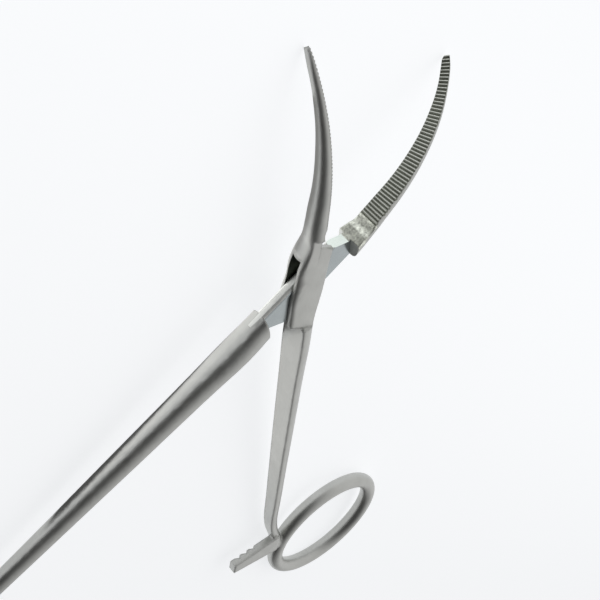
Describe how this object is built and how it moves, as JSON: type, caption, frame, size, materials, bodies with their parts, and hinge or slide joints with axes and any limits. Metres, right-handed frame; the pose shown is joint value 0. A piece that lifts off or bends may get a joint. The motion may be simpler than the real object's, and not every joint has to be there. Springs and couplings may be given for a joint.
{
  "type": "hemostat forceps",
  "caption": "Curved ring-handled hemostat forceps with serrated jaws, a box-lock pivot and a locking ratchet between the finger rings.",
  "frame": {"origin": "where the pivot axis meets the upper flat face of the box", "axes": "+Y runs from the pivot towards the box half's jaw, +Z is the pivot axis, upwards out of the box's flat face; the jaws curve towards -Z and the box half's finger ring lies on +X"},
  "size_m": [0.1464, 0.1592, 0.0134],
  "materials": {
    "satin_steel": "satin, fine grain along the length",
    "satin_steel_tongue": "satin, with bright milled faces on the tongue",
    "pin_steel": "satin, ground flush"
  },
  "bodies": {
    "box_half": {"box_half": "satin_steel", "pivot_pin": "pin_steel"},
    "tongue_half": {"tongue_half": "satin_steel_tongue"}
  },
  "joints": [
    {"name": "box_lock_pivot", "type": "hinge", "parent": "box_half", "child": "tongue_half", "pos_m": [0, 0, 0], "axis": [0, 0, 1], "range_deg": [-17, 49.3]}
  ]
}
